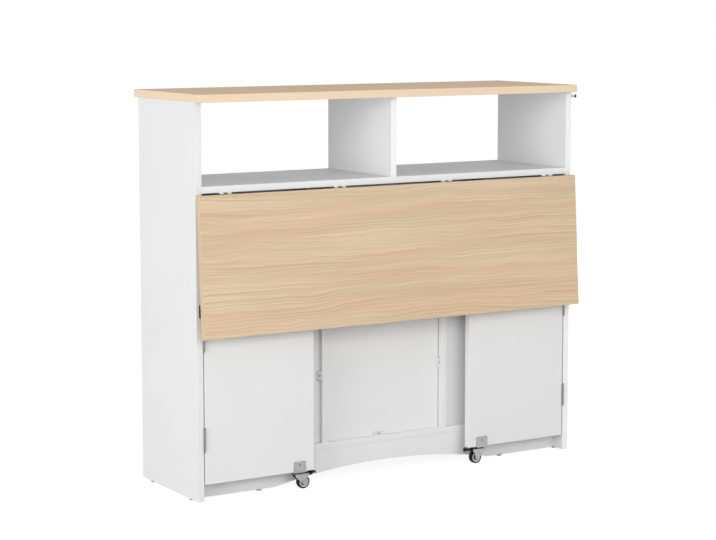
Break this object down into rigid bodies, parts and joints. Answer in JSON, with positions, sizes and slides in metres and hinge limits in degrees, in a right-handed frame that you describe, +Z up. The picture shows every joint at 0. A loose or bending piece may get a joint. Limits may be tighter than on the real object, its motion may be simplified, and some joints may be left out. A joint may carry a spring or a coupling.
{
  "type": "kitchen cart with drop leaf",
  "caption": "White kitchen cart with an oak top, open upper shelf, hinged drop leaf, swinging gates on braked casters, cupboards and a drawer.",
  "frame": {"origin": "on the floor, under the middle of the whole cart's outline", "axes": "+Z up, +X along the width towards the towel rail, +Y from the drop leaf towards the doors and drawer"},
  "size_m": [1.075, 0.36, 0.92],
  "materials": {
    "white_laminate": "satin white laminate",
    "oak_laminate": "matt light oak laminate",
    "white_hardboard": "painted hardboard",
    "zinc_steel": "zinc plated",
    "rail_steel": "satin steel",
    "knob_metal": "satin nickel",
    "tyre_rubber": "matt black",
    "hub_plastic": "grey moulded",
    "pedal_plastic": "black moulded",
    "clip_plastic": "pale moulded",
    "glide_plastic": "grey moulded",
    "pad_plastic": "dark moulded"
  },
  "bodies": {
    "carcass": {"side_panel_left": "white_laminate", "side_panel_right": "white_laminate", "table_shelf": "white_laminate", "upper_divider": "white_laminate", "lower_divider_left": "white_laminate", "lower_divider_right": "white_laminate", "bottom_panel": "white_laminate", "rear_apron": "white_laminate", "front_apron": "white_laminate", "cupboard_shelf_left": "white_laminate", "cupboard_shelf_right": "white_laminate", "centre_shelf": "white_laminate", "drawer_deck": "white_laminate", "gate_left": "white_laminate", "gate_right": "white_laminate", "drawer_runners": "white_laminate", "top_panel": "oak_laminate", "back_panel_left": "white_hardboard", "back_panel_centre": "white_hardboard", "back_panel_right": "white_hardboard", "gate_hinge_fixed_leaves": "zinc_steel", "gate_hinge_gate_leaves": "zinc_steel", "gate_hinge_pins": "zinc_steel", "door_hinge_fixed_leaves": "zinc_steel", "door_hinge_pins": "zinc_steel", "leaf_hinge_shelf_plates": "zinc_steel", "leaf_hinge_pins": "zinc_steel", "caster_bracket_left": "zinc_steel", "caster_bracket_right": "zinc_steel", "caster_kingpins": "zinc_steel", "shelf_pegs": "zinc_steel", "towel_rail": "rail_steel", "towel_rail_posts": "rail_steel", "back_panel_clips": "clip_plastic", "glide_feet": "glide_plastic", "gate_rest_pads": "pad_plastic"},
    "leaf": {"drop_leaf": "oak_laminate", "leaf_hinge_leaf_plates": "zinc_steel"},
    "door_left": {"door_left": "white_laminate", "door_knob_left": "knob_metal", "door_hinge_leaves_left": "zinc_steel"},
    "door_right": {"door_right": "white_laminate", "door_knob_right": "knob_metal", "door_hinge_leaves_right": "zinc_steel"},
    "drawer": {"drawer_front": "white_laminate", "drawer_wrap": "white_laminate", "drawer_floor": "white_hardboard", "drawer_knob": "knob_metal"},
    "caster_left": {"caster_fork_left": "zinc_steel", "caster_axle_left": "zinc_steel", "brake_pin_left": "zinc_steel"},
    "caster_right": {"caster_fork_right": "zinc_steel", "caster_axle_right": "zinc_steel", "brake_pin_right": "zinc_steel"},
    "wheel_left": {"caster_tyre_left": "tyre_rubber", "caster_hub_left": "hub_plastic"},
    "wheel_right": {"caster_tyre_right": "tyre_rubber", "caster_hub_right": "hub_plastic"},
    "pedal_left": {"brake_pedal_left": "pedal_plastic"},
    "pedal_right": {"brake_pedal_right": "pedal_plastic"}
  },
  "joints": [
    {"name": "leaf_hinge", "type": "hinge", "parent": "carcass", "child": "leaf", "pos_m": [-0.0185, -0.146, 0.6975], "axis": [-1, 0, 0], "range_deg": [0, 86.15]},
    {"name": "left_door_hinge", "type": "hinge", "parent": "carcass", "child": "door_left", "pos_m": [-0.52, 0.1473, 0.3965], "axis": [0, 0, 1], "range_deg": [0, 110]},
    {"name": "right_door_hinge", "type": "hinge", "parent": "carcass", "child": "door_right", "pos_m": [0.483, 0.1473, 0.3965], "axis": [0, 0, -1], "range_deg": [0, 110]},
    {"name": "drawer_slide", "type": "slide", "parent": "carcass", "child": "drawer", "axis": [0, 1, 0], "range_m": [0, 0.15]},
    {"name": "left_caster_swivel", "type": "hinge", "parent": "carcass", "child": "caster_left", "pos_m": [-0.2745, -0.136, 0.036], "axis": [0, 0, 1], "range_deg": [-200, 20]},
    {"name": "left_wheel_spin", "type": "hinge", "parent": "caster_left", "child": "wheel_left", "pos_m": [-0.2615, -0.136, 0.0155], "axis": [0, 1, 0], "continuous": true},
    {"name": "left_brake_pedal", "type": "hinge", "parent": "caster_left", "child": "pedal_left", "pos_m": [-0.2535, -0.136, 0.0325], "axis": [0, 1, 0], "range_deg": [0, 10]},
    {"name": "right_caster_swivel", "type": "hinge", "parent": "carcass", "child": "caster_right", "pos_m": [0.2375, -0.136, 0.036], "axis": [0, 0, 1], "range_deg": [-20, 200]},
    {"name": "right_wheel_spin", "type": "hinge", "parent": "caster_right", "child": "wheel_right", "pos_m": [0.2245, -0.136, 0.0155], "axis": [0, 1, 0], "continuous": true},
    {"name": "right_brake_pedal", "type": "hinge", "parent": "caster_right", "child": "pedal_right", "pos_m": [0.2165, -0.136, 0.0325], "axis": [0, -1, 0], "range_deg": [0, 10]}
  ]
}
